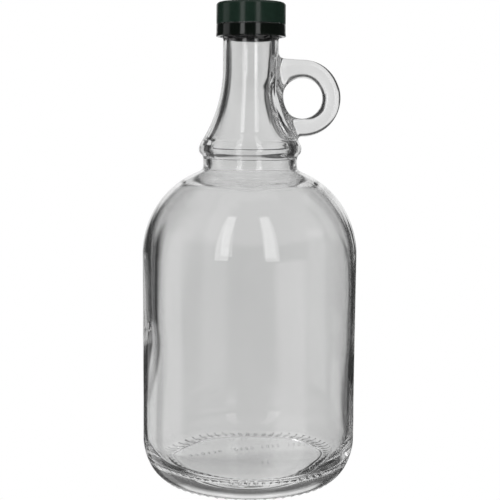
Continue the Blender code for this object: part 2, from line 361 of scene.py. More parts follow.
def heel(steps):
    """The superelliptic corner from the bearing ring up to the contact band."""
    power = 2.0 / HEEL_POWER
    points = []
    for angle in np.linspace(0.0, pi / 2, steps + 1):
        out = (CONTACT_RADIUS - BEARING_OUTER) * sin(angle) ** power
        up = (HEEL_HEIGHT - KNURL_HEIGHT) * (1 - max(0.0, cos(angle)) ** power)
        points.append((BEARING_OUTER + out, KNURL_HEIGHT + up))
    return points


def outer_outline():
    """From the centre of the push-up, round the heel and up to the rim's outer edge."""
    outline = dome(PUSH_UP_RADIUS - BAFFLE_INSET, PUSH_UP_EDGE, PUSH_UP_CENTRE, 14)
    edge = PUSH_UP_EDGE - BAFFLE_STEP
    outline += [(PUSH_UP_RADIUS, edge), (PUSH_UP_RADIUS + BAFFLE_WIDTH, edge)]
    outline += [(BEARING_OUTER - BEARING_WIDTH, KNURL_HEIGHT + 0.02),
                (BEARING_OUTER - 0.6, KNURL_HEIGHT)]
    outline += heel(20)
    outline += [(CONTACT_RADIUS, z) for z in np.linspace(HEEL_HEIGHT + 3, CONTACT_TOP, 3)]
    for share in (0.25, 0.5, 0.75):
        eased = (1 - cos(pi * share)) / 2
        outline.append((CONTACT_RADIUS + (BODY_RADIUS - CONTACT_RADIUS) * eased,
                        CONTACT_TOP + PANEL_STEP * share))
    outline += [(BODY_RADIUS, z) for z in np.linspace(CONTACT_TOP + PANEL_STEP, STRAIGHT_TOP, 14)]
    centre = (BODY_RADIUS - SHOULDER_ARC, SHOULDER_START)
    end = degrees(acos((SHOULDER_END - centre[0]) / SHOULDER_ARC))
    shoulder = arc(centre, SHOULDER_ARC, SHOULDER_ARC, 0, end, 24)
    neck = flare(BEAD_TOP, lambda height: 0.0, 24)
    waist = shoulder[-3:]
    waist += rounded([(*shoulder[-1], 0), (COLLAR_RADIUS, COLLAR_FOOT, 2.0),
                      (COLLAR_RADIUS, COLLAR_TOP, 0.8),
                      (BEAD_RADIUS - 1.2, COLLAR_TOP + 0.9, 0)], 6)[1:-1]
    waist += arc((BEAD_RADIUS - BEAD_ROUND, BEAD_CENTRE), BEAD_ROUND, BEAD_HALF_HEIGHT,
                 -60, 25, 12)
    waist += neck[:6]
    outline += shoulder[:-3] + relaxed(waist, COLLAR_POINTS, 4) + neck[6:]
    outline += rounded([(NECK_RADIUS, NECK_STRAIGHT, 0), (NECK_RADIUS, FINISH_BOTTOM - 1.2, 1.5),
                        (FINISH_RADIUS, FINISH_BOTTOM, 1.0),
                        (FINISH_RADIUS, RETAINER_BOTTOM, 0.4),
                        (RETAINER_RADIUS, RETAINER_BOTTOM + 0.7, 0.5),
                        (RETAINER_RADIUS, RETAINER_TOP - 0.5, 0.5),
                        (FINISH_RADIUS, RETAINER_TOP + 0.1, 0.4),
                        (FINISH_RADIUS, RIM_HEIGHT, 1.1),
                        (FINISH_RADIUS - 2.0, RIM_HEIGHT, 0)], 4)
    return outline


def inner_outline():
    """From the rim's inner edge down the bore and the walls to the floor's centre."""
    bore = NECK_RADIUS - NECK_WALL
    mouth = rounded([(bore + 1.2, RIM_HEIGHT, 0), (bore, RIM_HEIGHT, 0.8),
                     (bore, RIM_HEIGHT - 4.0, 0)], 4)[1:]
    walls = flare(BEAD_TOP, neck_wall, 24)[::-1]
    centre = (BODY_RADIUS - SHOULDER_ARC, SHOULDER_START)
    radius = SHOULDER_ARC - SHOULDER_WALL
    start = degrees(acos((COLLAR_RADIUS - SHOULDER_WALL - centre[0]) / radius))
    dome_side = arc(centre, radius, radius + SHOULDER_THINNING, start, 0, 30)
    waist = rounded([(*walls[-1], 0), (*dome_side[0], WAIST_BLEND),
                     (*dome_side[WAIST_POINT], 0)], 14)
    walls += waist[1:-1] + dome_side[WAIST_POINT:]
    side = BODY_RADIUS - BODY_WALL
    walls += [(side, z) for z in np.linspace(STRAIGHT_TOP, INNER_HEEL_TOP + 2, 24)]
    floor_edge = PUSH_UP_EDGE + FLOOR_WALL
    walls += arc((FLOOR_RADIUS, INNER_HEEL_TOP), side - FLOOR_RADIUS,
                 INNER_HEEL_TOP - floor_edge, 0, -90, 16)
    floor = dome(FLOOR_RADIUS, floor_edge, PUSH_UP_CENTRE + FLOOR_WALL, 8)[::-1]
    return mouth + thinned(relaxed(walls + floor[1:-1], WALL_POINTS, 5)) + floor[-1:]


def relaxed(points, count, rounds):
    """The outline with even spacing and soft corners, as a blown surface has."""
    path = np.array(points)
    along = np.concatenate(([0.0], np.cumsum(np.linalg.norm(np.diff(path, axis=0), axis=1))))
    even = np.linspace(0.0, along[-1], count)
    path = np.stack([np.interp(even, along, path[:, axis]) for axis in (0, 1)], axis=1)
    for _ in range(rounds):
        path[1:-1] = path[1:-1] / 2 + (path[:-2] + path[2:]) / 4
    return [tuple(point) for point in path]


def thinned(points):
    """Leaves out points where the outline hardly turns."""
    kept = [points[0]]
    for here, after in zip(points[1:], points[2:]):
        last = np.subtract(here, kept[-1])
        ahead = np.subtract(after, here)
        turn = abs(atan2(last[0] * ahead[1] - last[1] * ahead[0], float(last @ ahead)))
        if turn > LEAST_TURN or np.hypot(*last) > LONGEST_STEP:
            kept.append(here)
    return kept + [points[-1]]


# -------- mesh helpers

def new_object(name, mesh):
    item = bpy.data.objects.new(name, mesh)
    bpy.context.scene.collection.objects.link(item)
    return item


def shade(mesh):
    mesh.shade_smooth()
    mesh.set_sharp_from_angle(angle=SMOOTH_ANGLE)


def grid_mesh(name, radii, heights):
    """A closed turned surface from grids of radius and height, in millimetres.

    The first and last rows lie on the axis and become one vertex each.
    """
    rows, columns = radii.shape
    angles = np.arange(columns) * tau / columns
    x, y = radii * np.cos(angles), radii * np.sin(angles)
    ring = np.stack([x, y, heights], axis=-1)[1:-1].reshape(-1, 3)
    bottom, top = (0.0, 0.0, heights[0, 0]), (0.0, 0.0, heights[-1, 0])
    verts = np.concatenate([ring, [bottom], [top]]) * MM
    first_pole, last_pole = len(ring), len(ring) + 1
    faces = []
    for row in range(rows - 3):
        start, above = row * columns, (row + 1) * columns
        for column in range(columns):
            following = (column + 1) % columns
            faces.append((start + column, start + following, above + following, above + column))
    last_row = (rows - 3) * columns
    for column in range(columns):
        following = (column + 1) % columns
        faces.append((first_pole, following, column))
        faces.append((last_row + column, last_row + following, last_pole))
    mesh = bpy.data.meshes.new(name)
    mesh.from_pydata(verts.tolist(), [], faces)
    return mesh


def turned_mesh(name, outline, segments):
    """A closed turned body from an outline that starts and ends on the axis."""
    points = np.array(outline)
    radii = np.repeat(points[:, :1], segments, axis=1)
    heights = np.repeat(points[:, 1:], segments, axis=1)
    return grid_mesh(name, radii, heights)


def turned_ring(name, section, segments):
    """A closed turned ring from a closed section that stays off the axis."""
    count = len(section)
    verts = []
    for column in range(segments):
        angle = tau * column / segments
        verts += [(r * cos(angle) * MM, r * sin(angle) * MM, z * MM) for r, z in section]
    faces = []
    for column in range(segments):
        here, there = column * count, (column + 1) % segments * count
        for row in range(count):
            above = (row + 1) % count
            faces.append((here + row, there + row, there + above, here + above))
    mesh = bpy.data.meshes.new(name)
    mesh.from_pydata(verts, [], faces)
    return mesh


def mesh_from(builder, name, scale=MM):
    """The mesh of a finished bmesh, built in millimetres unless another scale is given."""
    builder.transform(Matrix.Scale(scale, 4))
    mesh = bpy.data.meshes.new(name)
    builder.to_mesh(mesh)
    builder.free()
    return mesh


def skin(builder, previous, ring):
    """Faces between two rings of vertices. The first ring of a row gets a cap instead."""
    if previous is None:
        builder.faces.new(ring)
        return
    for corner in range(len(ring)):
        following = (corner + 1) % len(ring)
        builder.faces.new((previous[corner], previous[following], ring[following], ring[corner]))


def joined(name, target, operand):
    """The exact Boolean union of two meshes, as a new mesh."""
    base, tool = new_object("base_shape", target), new_object("tool_shape", operand)
    modifier = base.modifiers.new("combine", "BOOLEAN")
    modifier.operation = "UNION"
    modifier.solver = "EXACT"
    modifier.object = tool
    graph = bpy.context.evaluated_depsgraph_get()
    mesh = bpy.data.meshes.new_from_object(base.evaluated_get(graph))
    mesh.name = name
    for item in (base, tool):
        bpy.data.objects.remove(item, do_unlink=True)
    return mesh


def merged(name, meshes):
    """Several separate closed shapes as one mesh."""
    builder = bmesh.new()
    for mesh in meshes:
        builder.from_mesh(mesh)
    bmesh.ops.recalc_face_normals(builder, faces=builder.faces)
    return mesh_from(builder, name, 1.0)


def helix(name, wall_radius, outward, start_height, phase_height):
    """A right-hand thread ridge rooted in a wall. outward is 1 outside, -1 inside."""
    builder = bmesh.new()
    first_turn = (start_height - phase_height) / PITCH
    steps = round(THREAD_TURNS * THREAD_SEGMENTS)
    previous = None
    for step in range(steps + 1):
        turn = THREAD_TURNS * step / steps
        fade = min(1.0, turn / THREAD_FADE, (THREAD_TURNS - turn) / THREAD_FADE)
        angle = (first_turn + turn) * tau
        height = start_height + PITCH * turn
        most = THREAD_ROOTED + THREAD_DEPTH
        reach = THREAD_END + sqrt(max(0.0, fade)) * (most - THREAD_END)
        foot = wall_radius - outward * THREAD_ROOTED
        ring = []
        for share, side in THREAD_SECTION:
            radius = foot + outward * reach * share
            place = (radius * cos(angle), radius * sin(angle), height + side * THREAD_BASE_HALF)
            ring.append(builder.verts.new(Vector(place) * MM))
        skin(builder, previous, ring)
        previous = ring
    builder.faces.new(previous)
    bmesh.ops.recalc_face_normals(builder, faces=builder.faces)
    return mesh_from(builder, name, 1.0)


# -------- glass body

def smooth_step(values, low, high):
    """0 below low, 1 above high, and an S-curve between them."""
    share = np.clip((values - low) / (high - low), 0.0, 1.0)
    return share * share * (3 - 2 * share)


def window(values, low, high, soft):
    """1 between low and high, falling to 0 over a soft edge on each side."""
    return smooth_step(values, low, low + soft) * (1 - smooth_step(values, high - soft, high))


def waves(table, angles, heights):
    """The sum of the slow waves in a table."""
    total = 0.0
    for size, count, phase, pitch in table:
        total = total + size * np.sin(count * angles + phase + heights / pitch)
    return total


def glass_grids():
    """Radius and height of each point of the moulding, without the ring and the thread."""
    outside, inside = np.array(outer_outline()), np.array(inner_outline())
    points = np.concatenate([outside, inside])
    columns = GLASS_SEGMENTS
    angles = np.arange(columns) * tau / columns
    radii = np.repeat(points[:, :1], columns, axis=1)
    heights = np.repeat(points[:, 1:], columns, axis=1)
    out_rows = slice(0, len(outside))
    in_rows = slice(len(outside), len(points))
    radii[out_rows] += mould_relief(radii[out_rows], heights[out_rows], angles)
    radii[in_rows] += blown_drift(radii[in_rows], heights[in_rows], angles)
    heights[in_rows] += floor_drift(radii[in_rows], heights[in_rows], angles)
    return radii, heights


def mould_relief(radii, heights, angles):
    """The mould's parting line on both sides, and the faint unevenness of its surface."""
    seam = np.zeros_like(radii)
    seam[:, 0] = seam[:, GLASS_SEGMENTS // 2] = SEAM_HEIGHT
    seam *= window(heights, *SEAM_SPAN)
    return seam + waves(RIPPLES, angles, heights) * window(heights, *RIPPLE_SPAN)


def blown_drift(radii, heights, angles):
    """The slow waves of a blown inner wall, strongest on the body."""
    drift = WALL_DRIFT * window(heights, *DRIFT_SPAN)
    drift = np.cos(angles) * (drift + LOW_DRIFT * window(heights, *LOW_DRIFT_SPAN))
    wave = waves(WALL_WAVES, angles, heights)
    wave = wave + 0.10 * np.sin(heights / 9 + 1.3 * np.cos(angles))
    lens = smooth_step(radii, *WALL_WAVE_START)
    neck = waves(NECK_WAVES, angles, heights) * window(heights, *NECK_WAVE_SPAN)
    aside = np.abs((angles + pi) % tau - pi)
    root = ROOT_THICKENING * np.exp(-(aside / ROOT_ANGLE) ** 2) * window(heights, *ROOT_SPAN)
    return drift - root + wave * lens * window(heights, *WALL_WAVE_SPAN) + neck


def floor_drift(radii, heights, angles):
    """The floor is a little uneven, and level at its centre."""
    wave = waves(FLOOR_WAVES, angles, heights)
    return wave * smooth_step(radii, *FLOOR_WAVE_START) * (heights < FLOOR_TOP)


# -------- thumb ring

def neck_tables():
    """Height and radius of the neck's outer and inner sides, bottom to top."""
    low, high = JOIN_SPAN
    outside = np.array([point for point in outer_outline() if low < point[1] < high])
    inside = np.array([point for point in inner_outline() if low - 2 < point[1] < high])[::-1]
    return outside, inside


def neck_distance(points, outside):
    """About how far each point lies outside the neck's outer side."""
    radius = np.hypot(points[:, 0], points[:, 1])
    step = 0.25
    here = np.interp(points[:, 2], outside[:, 1], outside[:, 0])
    above = np.interp(points[:, 2] + step, outside[:, 1], outside[:, 0])
    below = np.interp(points[:, 2] - step, outside[:, 1], outside[:, 0])
    slope = (above - below) / (2 * step)
    return (radius - here) / np.sqrt(1 + slope ** 2)


def oval_distance(across, depth, half_width):
    """Distance from a limb's section: an oval with flattened sides."""
    out, over = np.abs(across / half_width), np.abs(depth / LIMB_HALF_DEPTH)
    return ((out ** LIMB_POWER + over ** LIMB_POWER) ** (1 / LIMB_POWER) - 1) * half_width


def limb_section(angles, half_width, half_depth):
    """Points across the limb's plane and along it, on the same flattened oval."""
    across, depth = np.cos(angles), np.sin(angles)
    size = (np.abs(across) ** LIMB_POWER + np.abs(depth) ** LIMB_POWER) ** (-1 / LIMB_POWER)
    return half_width * across * size, half_depth * depth * size


def soft_least(first, second, blend):
    """The lesser of two distances, with a fillet where they meet."""
    share = np.clip(0.5 + 0.5 * (second - first) / blend, 0.0, 1.0)
    return second * (1 - share) + first * share - blend * share * (1 - share)


def ring_distance(points):
    """About how far each point lies outside the ring and its straight top limb."""
    x, y, z = points[:, 0] - RING_X, points[:, 1], points[:, 2] - RING_Z
    around = oval_distance(np.hypot(x, z) - RING_RADIUS, y, LIMB_HALF_WIDTH)
    share = np.clip((points[:, 0] - BAR_START) / (RING_X - BAR_START), 0.0, 1.0)
    centre = BAR_ROOT_Z + (BAR_TIP_Z - BAR_ROOT_Z) * share
    half = BAR_ROOT_HALF + (BAR_TIP_HALF - BAR_ROOT_HALF) * share
    along = oval_distance(points[:, 2] - centre, y, half)
    beyond = np.maximum(0.0, x) + np.maximum(0.0, BAR_START - points[:, 0])
    along = np.where(beyond > 0, np.hypot(np.maximum(along, 0), beyond), along)
    crotch = CROTCH_LEAST + CROTCH_BLEND * np.clip(-x / CROTCH_REACH, 0.0, 1.0)
    seam = SEAM_HEIGHT * np.exp(-(y / SEAM_WIDTH) ** 2)
    return soft_least(around, along, crotch) - seam


def glass_distance(points, outside):
    """About how far each point lies outside the neck and the ring, with their fillet."""
    return soft_least(neck_distance(points, outside), ring_distance(points), JOIN_BLEND)


def blend_slope(points, outside):
    """The direction, and steepness, in which glass_distance grows."""
    step = 0.02
    slope = np.empty_like(points)
    for axis in range(3):
        shift = np.zeros(3)
        shift[axis] = step
        slope[:, axis] = (glass_distance(points + shift, outside)
                          - glass_distance(points - shift, outside)) / (2 * step)
    return slope


def near_ring(points, outside, reach):
    """Which points are on the outer side of the ring, or of the neck within reach of it."""
    near = (points[:, 2] > RING_SPAN[0]) & (points[:, 2] < RING_SPAN[1])
    near &= ring_distance(points) < reach
    return near & (neck_distance(points, outside) > -SKIN_DEPTH)


def pulled(points, outside):
    """Moves points onto the filleted surface."""
    for _ in range(PULL_ROUNDS):
        slope = blend_slope(points, outside)
        length = np.maximum(0.2, (slope ** 2).sum(axis=1))
        share = np.clip(glass_distance(points, outside) / length, -PULL_LIMIT, PULL_LIMIT)
        points = points - slope * share[:, None]
    return points


def blend_join(mesh, outside):
    """Refines the joint of neck and ring and moves it onto their filleted surface."""
    builder = bmesh.new()
    builder.from_mesh(mesh)
    for longest in JOINT_EDGES:
        centres = np.array([face.calc_center_median() for face in builder.faces]) / MM
        joint = near_ring(centres, outside, JOINT_REACH)
        joint &= neck_distance(centres, outside) < JOINT_REACH
        faces = [face for face, inside in zip(builder.faces, joint) if inside]
        made = bmesh.ops.triangulate(builder, faces=faces)["faces"]
        edges = {edge for face in made for edge in face.edges if edge.calc_length() > longest * MM}
        bmesh.ops.subdivide_edges(builder, edges=list(edges), cuts=1)
        large = [face for face in builder.faces if len(face.verts) > 4]
        bmesh.ops.triangulate(builder, faces=large)
    for round_index in range(SMOOTH_ROUNDS + 1):
        places = np.array([vert.co for vert in builder.verts]) / MM
        near = near_ring(places, outside, JOIN_BLEND + 1)
        places[near] = pulled(places[near], outside)
        for vert, place, moved in zip(builder.verts, places, near):
            if moved:
                vert.co = Vector(place) * MM
        if round_index == SMOOTH_ROUNDS:
            break
        joint = near & (ring_distance(places) < SMOOTHED_REACH)
        joint &= neck_distance(places, outside) < SMOOTHED_REACH
        loose = [vert for vert, inside in zip(builder.verts, joint) if inside]
        bmesh.ops.smooth_vert(builder, verts=loose, factor=0.5, use_axis_x=True, use_axis_y=True,
                              use_axis_z=True)
    builder.to_mesh(mesh)
    builder.free()


def exact_normals(mesh, outside):
    """Gives the ring and its fillets the normals of the surface that they lie on."""
    places = np.empty(len(mesh.vertices) * 3)
    mesh.vertices.foreach_get("co", places)
    places = places.reshape(-1, 3) / MM
    near = near_ring(places, outside, JOIN_BLEND + 1)
    slope = blend_slope(places[near], outside)
    own = np.zeros_like(places)
    own[near] = slope / np.linalg.norm(slope, axis=1)[:, None]
    normals = np.empty(len(mesh.loops) * 3)
    mesh.corner_normals.foreach_get("vector", normals)
    normals = normals.reshape(-1, 3)
    corners = np.empty(len(mesh.loops), dtype=np.int32)
    mesh.loops.foreach_get("vertex_index", corners)
    on_ring = near[corners]
    normals[on_ring] = own[corners[on_ring]]
    mesh.normals_split_custom_set(normals.tolist())


def ring_mesh(inside):
    """The whole ring, with extra points beside its seams, pressed clear of the bore."""
    turn = np.linspace(0, tau, RING_POINTS, endpoint=False)
    seam = np.array([0.03, 0.06, 0.11])
    angles = np.sort(np.concatenate([turn, seam, -seam % tau, pi + seam, pi - seam]))
    across, depth = limb_section(angles, LIMB_HALF_WIDTH, LIMB_HALF_DEPTH)
    across = across + RING_RADIUS
    rows = []
    for step in range(RING_STEPS):
        spin = tau * step / RING_STEPS
        rows.append(np.stack([RING_X + across * cos(spin), depth, RING_Z + across * sin(spin)], 1))
    return swept_mesh("ring_shape", pressed(np.concatenate(rows), inside), len(angles), True)


def bar_mesh(inside):
    """The straight limb between the neck and the ring's crown."""
    angles = np.linspace(0, tau, BAR_POINTS, endpoint=False)
    rows = []
    for step in range(BAR_STEPS + 1):
        share = step / BAR_STEPS
        x = BAR_START + (RING_X - BAR_START) * share
        half = (BAR_ROOT_HALF + (BAR_TIP_HALF - BAR_ROOT_HALF) * share) * BAR_SHRINK
        z = BAR_ROOT_Z + (BAR_TIP_Z - BAR_ROOT_Z) * share
        across, depth = limb_section(angles, half, LIMB_HALF_DEPTH * BAR_SHRINK)
        rows.append(np.stack([np.full(BAR_POINTS, x), depth, z + across], 1))
    return swept_mesh("bar_shape", pressed(np.concatenate(rows), inside), BAR_POINTS, False)


def pressed(points, inside):
    """Moves points that lie in the hollow outwards, into the neck's wall."""
    radius = np.hypot(points[:, 0], points[:, 1])
    least = np.interp(points[:, 2], inside[:, 1], inside[:, 0]) + PRESS_DEPTH
    grow = np.maximum(1.0, least / np.maximum(radius, 1e-6))
    points = points.copy()
    points[:, :2] *= grow[:, None]
    return points


def swept_mesh(name, points, count, closed):
    """A tube through rows of count points: closed into a ring, or with flat ends."""
    rows = len(points) // count
    faces = []
    for row in range(rows if closed else rows - 1):
        here, there = row * count, (row + 1) % rows * count
        for column in range(count):
            following = (column + 1) % count
            faces.append((here + column, here + following, there + following, there + column))
    if not closed:
        faces.append(tuple(range(count)))
        faces.append(tuple(range((rows - 1) * count, rows * count)))
    mesh = bpy.data.meshes.new(name)
    mesh.from_pydata((points * MM).tolist(), [], faces)
    builder = bmesh.new()
    builder.from_mesh(mesh)
    if builder.calc_volume(signed=True) < 0:
        bmesh.ops.reverse_faces(builder, faces=builder.faces)
    builder.to_mesh(mesh)
    builder.free()
    return mesh


# -------- moulded marks

def under_base(x, y):
    """The place on the push-up's underside below (x, y)."""
    share = sqrt(x * x + y * y) / (PUSH_UP_RADIUS - 0.2)
    height = PUSH_UP_CENTRE - (PUSH_UP_CENTRE - PUSH_UP_EDGE) * share ** 2
    return Matrix.Translation((x, y, height))


def tapered_block(builder, place, size, outward):
    """A raised bar with drafted sides: its outer end is smaller than its foot."""
    made = bmesh.ops.create_cube(builder, size=1.0, matrix=Matrix.Diagonal((*size, 1)))
    for vert in made["verts"]:
        if vert.co.z * outward > 0:
            vert.co.x *= MARK_DRAFT[0]
            vert.co.y *= MARK_DRAFT[1]
    bmesh.ops.transform(builder, matrix=place, verts=made["verts"])


def knurl_bars():
    """Short radial ridges all round the bearing ring: the jug stands on their crests."""
    outline = np.array([point for point in outer_outline()
                        if point[0] > PUSH_UP_RADIUS + 0.1 and point[1] < 6.0])
    stations, shares = np.transpose(KNURL_STATIONS)
    heights = np.interp(stations, outline[:, 0], outline[:, 1])
    drops = KNURL_HEIGHT * shares
    builder = bmesh.new()
    for index in range(KNURL_COUNT):
        spin = Matrix.Rotation(tau * (index + 0.5) / KNURL_COUNT, 4, "Z")
        previous = None
        for radius, height, drop in zip(stations, heights, drops):
            root, shoulder = height + KNURL_ROOTED, height - 0.6 * drop
            section = [(-1.0, root), (-1.0, height + 0.05), (-0.6, shoulder),
                       (0.0, height - drop), (0.6, shoulder), (1.0, height + 0.05), (1.0, root)]
            row = [builder.verts.new(spin @ Vector((radius, side * KNURL_HALF_WIDTH, z)))
                   for side, z in section]
            skin(builder, previous, row)
            previous = row
        builder.faces.new(previous)
    bmesh.ops.recalc_face_normals(builder, faces=builder.faces)
    return mesh_from(builder, "knurl_bars")


def base_marks():
    """Plain bars under the push-up, where a maker would put its marks."""
    builder = bmesh.new()
    for index in range(MARK_COUNT):
        if index in MARK_GAPS:
            continue
        share = 2 * index / (MARK_COUNT - 1) - 1
        x = MARK_ROW_HALF * share
        y = MARK_ROW_CENTRE + MARK_ROW_RISE * share - MARK_ROW_SAG * share ** 2
        lean = atan2(MARK_ROW_RISE - 2 * MARK_ROW_SAG * share, MARK_ROW_HALF)
        size = (0.7 + 0.5 * (index % 3), 2.6 - 0.7 * (index % 2), 2 * MARK_RELIEF)
        tapered_block(builder, under_base(x, y) @ Matrix.Rotation(lean, 4, "Z"), size, -1)
    for x, y in LONE_MARKS:
        tapered_block(builder, under_base(x, y), LONE_MARK_SIZE, -1)
    return mesh_from(builder, "base_marks")


def heel_marks():
    """Small domes on the heel, in groups, and two short upright bars."""
    builder = bmesh.new()
    outline = np.array(heel(60))
    radius = float(np.interp(HEEL_MARK_HEIGHT, outline[:, 1], outline[:, 0]))
    for index in HEEL_DOTS:
        angle = radians(-90 + HEEL_MARK_SPACING * index)
        place = Matrix.Translation((radius * cos(angle), radius * sin(angle),
                                    HEEL_MARK_HEIGHT + HEEL_DOT_RISE))
        bmesh.ops.create_uvsphere(builder, u_segments=20, v_segments=12, radius=HEEL_DOT_RADIUS,
                                  matrix=place)
    for index in HEEL_BARS:
        place = Matrix.Rotation(radians(-90 + HEEL_MARK_SPACING * index), 4, "Z")
        place = place @ Matrix.Translation((radius, 0, HEEL_MARK_HEIGHT))
        place = place @ Matrix.Rotation(HEEL_LEAN, 4, "Y") @ Matrix.Rotation(pi / 2, 4, "Y")
        tapered_block(builder, place, HEEL_BAR_SIZE, 1)
    return mesh_from(builder, "heel_marks")


def build_glass():
    outside, inside = neck_tables()
    handle = joined("handle_shape", ring_mesh(inside), bar_mesh(inside))
    thread = helix("glass_thread", FINISH_RADIUS, 1, THREAD_START, THREAD_START)
    extras = merged("extras", [handle, thread, knurl_bars(), base_marks(), heel_marks()])
    body = grid_mesh("glass_body", *glass_grids())
    mesh = joined("moulded_glass", body, extras)
    blend_join(mesh, outside)
    shade(mesh)
    exact_normals(mesh, outside)
    glass = new_object("moulded_glass", mesh)
    mesh.materials.clear()
    mesh.materials.append(glass_material())
    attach(glass, "bottle")
    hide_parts("glass_bottle")


# -------- closure

def build_cap():
    outline = rounded([
        (0.0, CAP_CEILING, 0), (CAP_BORE, CAP_CEILING, 0.4), (CAP_BORE, CAP_BOTTOM + 0.3, 0.1),
        (CAP_BORE + 0.3, CAP_BOTTOM, 0.1), (CAP_RADIUS, CAP_BOTTOM, 0.18),
        (CAP_RADIUS, CAP_TOP, CAP_EDGE), (TOP_RECESS_RADIUS + 0.3, CAP_TOP, 0.3),
        (TOP_RECESS_RADIUS, CAP_TOP - TOP_RECESS, 0.3),
        (GATE_RADIUS + 0.5, CAP_TOP - TOP_RECESS, 0.2),
        (GATE_RADIUS, CAP_TOP - TOP_RECESS - 0.25, 0.2), (0.0, CAP_TOP - TOP_RECESS - 0.2, 0)], 6)
    shell = turned_mesh("cap_shell", outline, CLOSURE_SEGMENTS)
    phase = THREAD_START + PITCH / 2 + THREAD_SEAT
    thread = helix("cap_thread", CAP_BORE, -1, CAP_THREAD_START, phase)
    mesh = joined("cap_moulding", shell, thread)
    closure_piece("cap_moulding", mesh, cap_material(), "cap", "screw_cap")


def build_band():
    corners = [
        (BAND_BORE, BAND_TOP), (BAND_BORE, BAND_BORE_BOTTOM), (BAND_LIP_RADIUS, BAND_LIP_TOP),
        (BAND_LIP_RADIUS, BAND_LIP_BOTTOM), (BAND_LIP_RADIUS + 0.8, BAND_BOTTOM),
        (BAND_SKIRT_RADIUS, BAND_BOTTOM), (BAND_RADIUS, BAND_BOTTOM + 2.2), (BAND_RADIUS, BAND_TOP)]
    softened = [(*corner, BAND_ROUND) for corner in corners]
    closed = [softened[-1]] + softened + [softened[0]]
    section = rounded(closed, 4)[1:-1]
    ring = turned_ring("band_ring", section, CLOSURE_SEGMENTS)
    builder = bmesh.new()
    for index in range(NIB_COUNT):
        spin = Matrix.Rotation(tau * (index + 0.5) / NIB_COUNT, 4, "Z")
        place = spin @ Matrix.Translation((NIB_RADIUS, 0, BAND_TOP))
        tapered_block(builder, place, NIB_SIZE, 1)
    mesh = joined("band_moulding", ring, mesh_from(builder, "nibs"))
    closure_piece("band_moulding", mesh, band_material(), "band", "tamper_band")


def build_liner():
    rounds = (0.2, 0.2, 0.2, 0.1)
    groove = [(radius, LINER_BOTTOM + up, size) for (radius, up), size in zip(LINER_GROOVE, rounds)]
    outline = rounded([
        (0.0, LINER_BOTTOM, 0), *groove, (LINER_RADIUS, LINER_BOTTOM, 0.1),
        (LINER_RADIUS, LINER_TOP, 0.15), (0.0, LINER_TOP, 0)], 4)
    mesh = turned_mesh("liner_disc", outline, CLOSURE_SEGMENTS)
    closure_piece("liner_disc", mesh, liner_material(), "liner", "cap_liner")


def closure_piece(name, mesh, material, body, node):
    """Makes a visual piece that rides on a body and stands in for a node."""
    mesh = merged(name, [mesh])
    shade(mesh)
    mesh.materials.append(material)
    piece = new_object(name, mesh)
    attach(piece, body)
    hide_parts(node)


# -------- materials

def new_material(name):
    material = bpy.data.materials.new(name)
    material.use_nodes = True
    tree = material.node_tree
    return material, tree, tree.nodes["Principled BSDF"]


def noise(tree, scale, detail=3.0):
    """Noise in the part's own frame. scale is in cycles per metre."""
    place = tree.nodes.new("ShaderNodeTexCoord")
    texture = tree.nodes.new("ShaderNodeTexNoise")
    texture.inputs["Scale"].default_value = scale
    texture.inputs["Detail"].default_value = detail
    tree.links.new(place.outputs["Object"], texture.inputs["Vector"])
    return texture.outputs["Fac"]


def between(tree, factor, low, high):
    """Maps a noise to a range of values."""
    return mapped(tree, factor, NOISE_RANGE, (low, high), "LINEAR")


def tinted(tree, factor, colours):
    """Maps a noise to the colours between two tints."""
    ramp = tree.nodes.new("ShaderNodeValToRGB")
    for element, position, colour in zip(ramp.color_ramp.elements, NOISE_RANGE, colours):
        element.position = position
        element.color = (*colour, 1)
    tree.links.new(factor, ramp.inputs["Fac"])
    return ramp.outputs["Color"]


def glass_material():
    material, tree, shader = new_material("moulded_clear_glass")
    shader.inputs["Transmission Weight"].default_value = 1.0
    shader.inputs["IOR"].default_value = 1.51
    colour = tinted(tree, noise(tree, 14.0), GLASS_TINTS)
    tree.links.new(colour, shader.inputs["Base Color"])
    polished = between(tree, noise(tree, 60.0), 0.0, 0.012)
    parts = tree.nodes.new("ShaderNodeSeparateXYZ")
    tree.links.new(tree.nodes.new("ShaderNodeTexCoord").outputs["Object"], parts.inputs[0])
    out, high = [smooth_range(tree, parts.outputs[axis], start * MM, full * MM, 0.0, 1.0)
                 for axis, (start, full) in (("X", HAZE_OUT), ("Z", HAZE_UP))]
    haze = between(tree, noise(tree, 400.0), HANDLE_HAZE - 0.04, HANDLE_HAZE + 0.04)
    hazy = math_node(tree, "MULTIPLY", math_node(tree, "MULTIPLY", out, high), haze)
    tree.links.new(math_node(tree, "ADD", polished, hazy), shader.inputs["Roughness"])
    return material


def plastic_material(name, colours, gloss, shine):
    """A plastic with a very fine grain. gloss is its roughness and shine its specular level."""
    material, tree, shader = new_material(name)
    shader.inputs["IOR"].default_value = 1.5
    shader.inputs["Specular IOR Level"].default_value = shine
    tree.links.new(tinted(tree, noise(tree, 220.0), colours), shader.inputs["Base Color"])
    roughness = between(tree, noise(tree, 900.0, 4.0), gloss - 0.04, gloss + 0.05)
    tree.links.new(roughness, shader.inputs["Roughness"])
    bump = tree.nodes.new("ShaderNodeBump")
    bump.inputs["Strength"].default_value = 0.25
    bump.inputs["Distance"].default_value = 0.04 * MM
    tree.links.new(noise(tree, 2600.0, 4.0), bump.inputs["Height"])
    tree.links.new(bump.outputs["Normal"], shader.inputs["Normal"])
    return material


def cap_material():
    return plastic_material("cap_green_plastic", CAP_GREENS, 0.17, 0.22)


def band_material():
    return plastic_material("band_green_plastic", BAND_GREENS, 0.09, 0.4)


def liner_material():
    return plastic_material("foam_liner", LINER_WHITES, 0.65, 0.5)


# -------- stage and light

